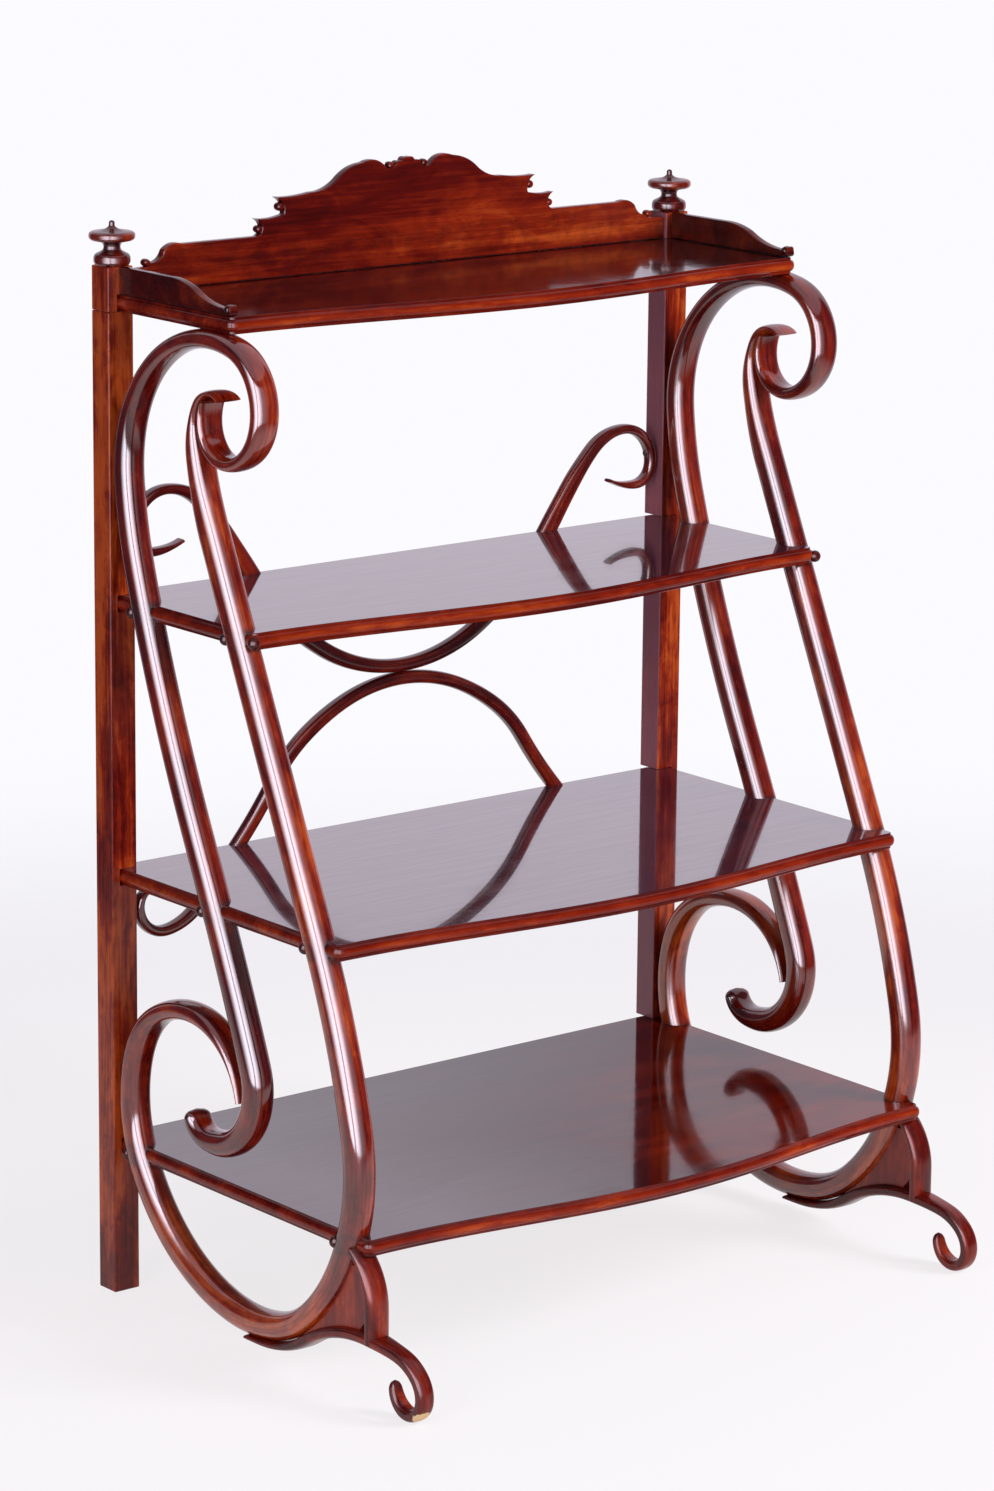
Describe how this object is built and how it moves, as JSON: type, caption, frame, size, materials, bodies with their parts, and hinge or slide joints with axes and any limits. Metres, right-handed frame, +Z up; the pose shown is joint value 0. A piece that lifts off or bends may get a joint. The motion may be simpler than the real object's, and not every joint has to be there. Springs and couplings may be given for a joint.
{
  "type": "etagere",
  "caption": "Scroll-framed mahogany etagere with stepped bow-fronted shelves, shaped backboard, turned finials and curled feet.",
  "frame": {"origin": "middle of the footprint's bounding box on the floor", "axes": "+Z up, front toward -Y, +X to the viewer's right seen from the front"},
  "size_m": [0.817, 0.5689, 1.2125],
  "materials": {
    "rod": "french-polished red-brown mahogany, glossy",
    "post": "polished orange-brown mahogany, satin to glossy",
    "shelf": "french-polished dark mahogany, mirror-like",
    "gallery": "polished figured mahogany, glossy",
    "steel": "darkened screw heads"
  },
  "bodies": {
    "root": {"back_post_left": "post", "back_post_right": "post", "cap_block_left": "post", "cap_block_right": "post", "finial_left": "rod", "finial_right": "rod", "shelf_bottom": "shelf", "shelf_third": "shelf", "shelf_second": "shelf", "shelf_top": "shelf", "back_gallery": "gallery", "side_gallery_left": "gallery", "side_gallery_right": "gallery", "rear_scroll_left": "rod", "rear_scroll_right": "rod", "front_scroll_left": "rod", "front_scroll_right": "rod", "foot_scroll_left": "rod", "foot_scroll_right": "rod", "foot_bracket_left": "rod", "foot_bracket_right": "rod", "foot_web_left": "rod", "foot_web_right": "rod", "upper_brace": "rod", "lower_brace": "rod", "brace_screw_left": "steel", "brace_screw_right": "steel"}
  },
  "joints": []
}
